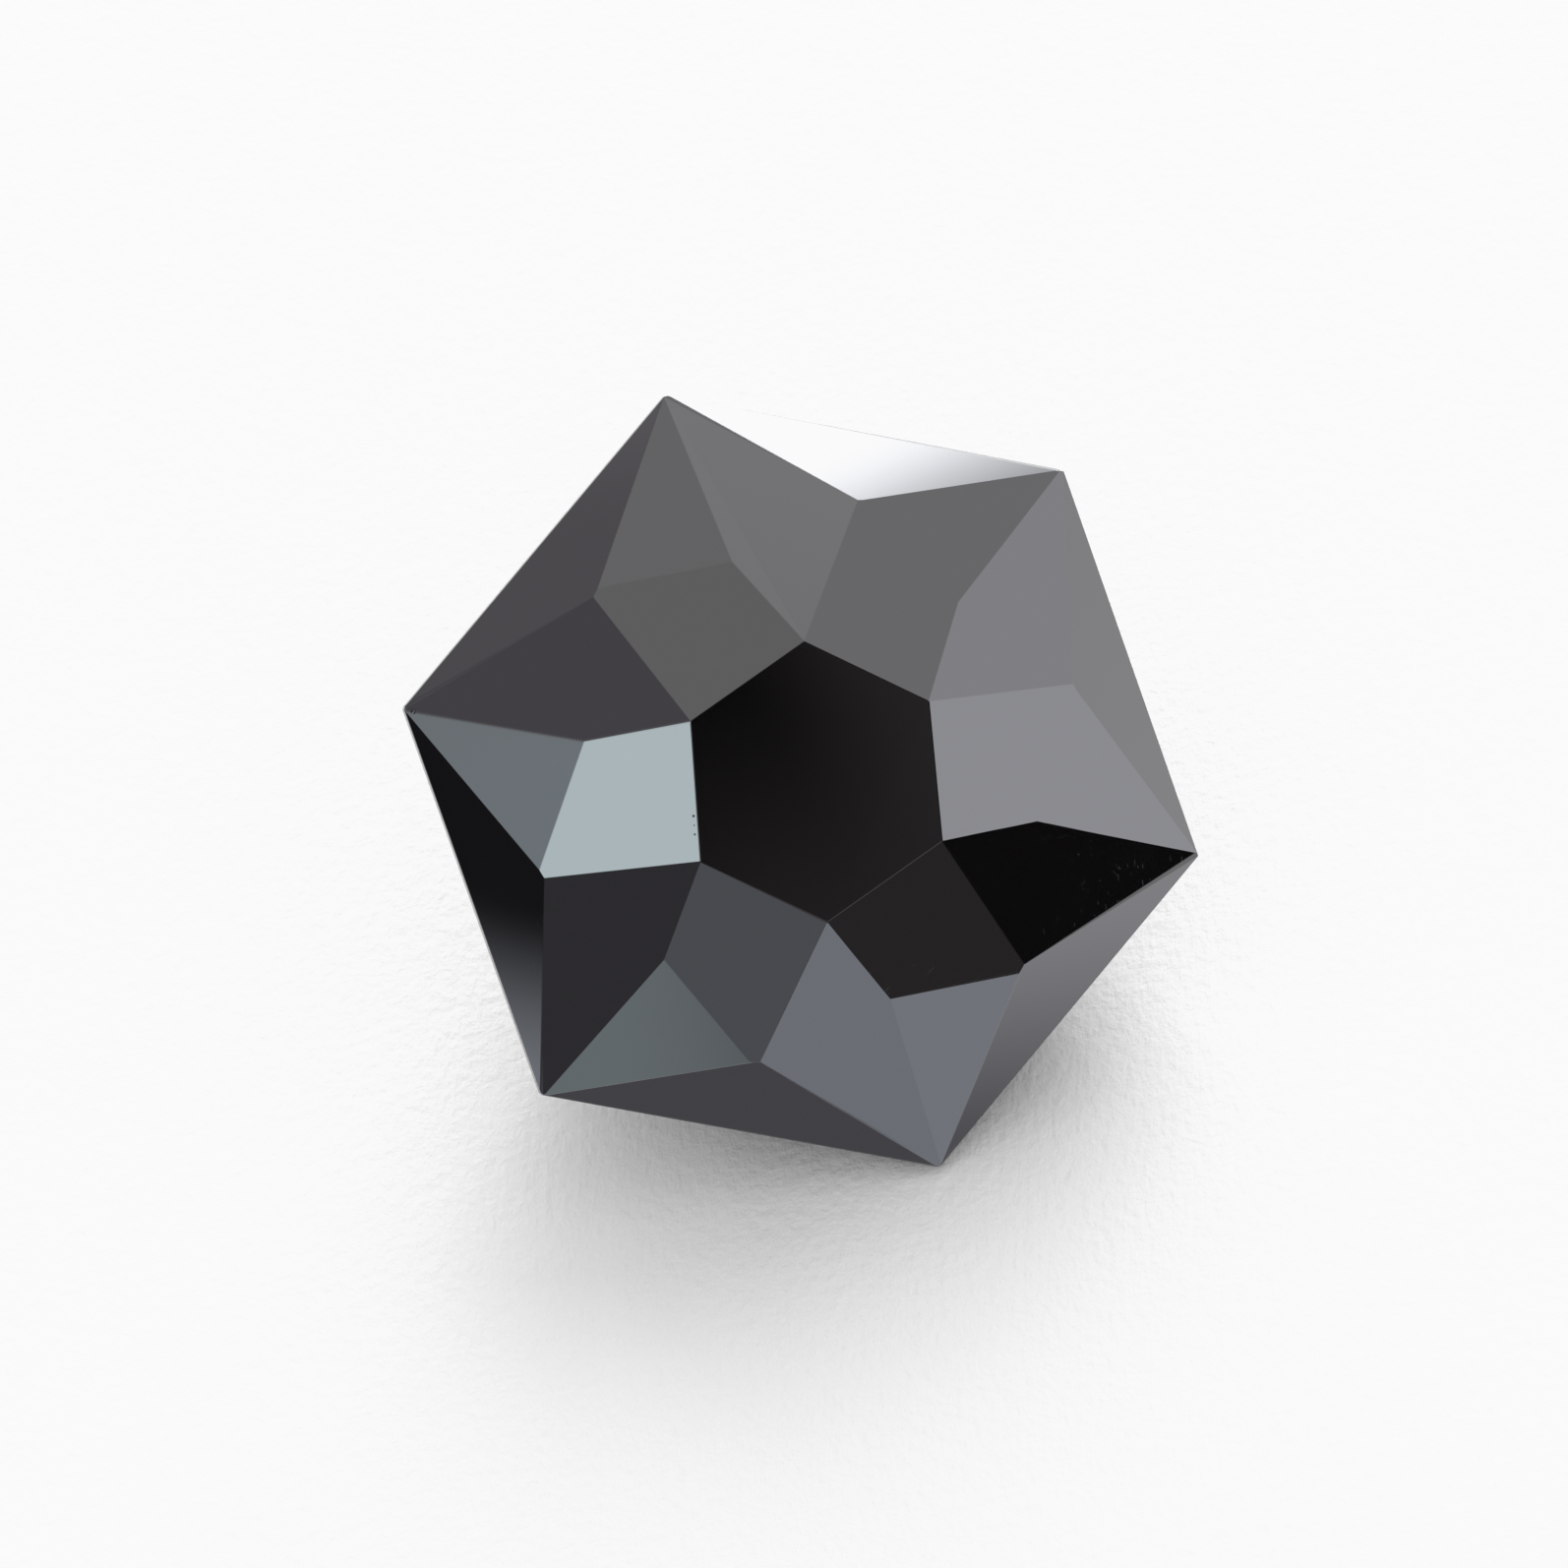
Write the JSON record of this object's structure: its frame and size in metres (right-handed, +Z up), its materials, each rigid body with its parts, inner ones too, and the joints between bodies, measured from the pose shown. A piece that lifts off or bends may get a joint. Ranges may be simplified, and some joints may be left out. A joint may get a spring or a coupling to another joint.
{
  "type": "hexagonal cut stone",
  "caption": "Opaque black hexagonal cut stone with a flat table, a pinwheel crown of polished facets and a pointed back, lying on one facet of its back.",
  "frame": {"origin": "on the facet of the back that the stone lies on, straight under the centre of the girdle", "axes": "+Z up from the surface that the stone lies on; the stone's own axis leans 46 degrees towards -Y, so the table faces the front and up, and one corner of the girdle points to the front at the bottom"},
  "size_m": [0.014, 0.0118, 0.0118],
  "materials": {
    "black_stone": "mirror polished"
  },
  "bodies": {
    "root": {"cut_stone": "black_stone"}
  },
  "joints": []
}
